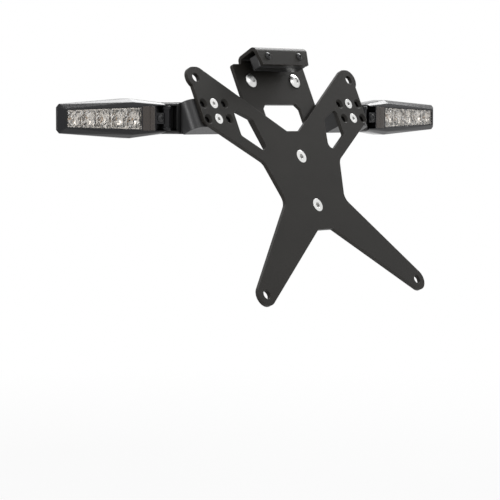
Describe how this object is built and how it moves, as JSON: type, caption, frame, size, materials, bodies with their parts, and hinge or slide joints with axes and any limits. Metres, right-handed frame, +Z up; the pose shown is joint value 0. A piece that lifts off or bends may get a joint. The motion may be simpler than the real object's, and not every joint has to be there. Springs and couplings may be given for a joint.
{
  "type": "motorcycle tail tidy",
  "caption": "X-shaped steel number plate carrier on a folded base bracket with a hooded plate lamp and two swept indicators on short stems.",
  "frame": {"origin": "midway between the two tail screws, on the base bracket's front-facing side where it meets the motorcycle's tail", "axes": "+X to the right seen from behind, +Y forward, +Z up, as installed with the sheets leaning 23.8 degrees, lower edge rearward"},
  "size_m": [0.4146, 0.0974, 0.1767],
  "materials": {
    "sheet": "satin",
    "zinc": "satin",
    "black_screw": "satin",
    "moulded": "matte",
    "stem": "matte",
    "shell": "gloss",
    "lens": "gloss",
    "smoke": "gloss",
    "silvered": "mirror",
    "board": "matte",
    "diode": "gloss"
  },
  "bodies": {
    "root": {"plate_carrier": "sheet", "base_bracket": "sheet", "carrier_screws": "zinc", "carrier_washers": "zinc", "carrier_nuts": "zinc", "tail_screws": "zinc", "lamp_body": "moulded", "lamp_lens": "lens", "lamp_board": "board", "lamp_screws": "black_screw", "shoulder_screws_left": "zinc", "shoulder_screws_right": "zinc", "shoulder_nuts_left": "zinc", "shoulder_nuts_right": "zinc", "indicator_adapter_left": "moulded", "indicator_adapter_right": "moulded", "indicator_stem_left": "stem", "indicator_stem_right": "stem", "stem_screw_left": "black_screw", "stem_screw_right": "black_screw", "indicator_housing_left": "shell", "indicator_housing_right": "shell", "smoked_panel_left": "smoke", "smoked_panel_right": "smoke", "indicator_lens_left": "lens", "indicator_lens_right": "lens", "reflector_left": "silvered", "reflector_right": "silvered", "led_board_left": "board", "led_board_right": "board", "housing_screw_left": "black_screw", "housing_screw_right": "black_screw"}
  },
  "joints": []
}
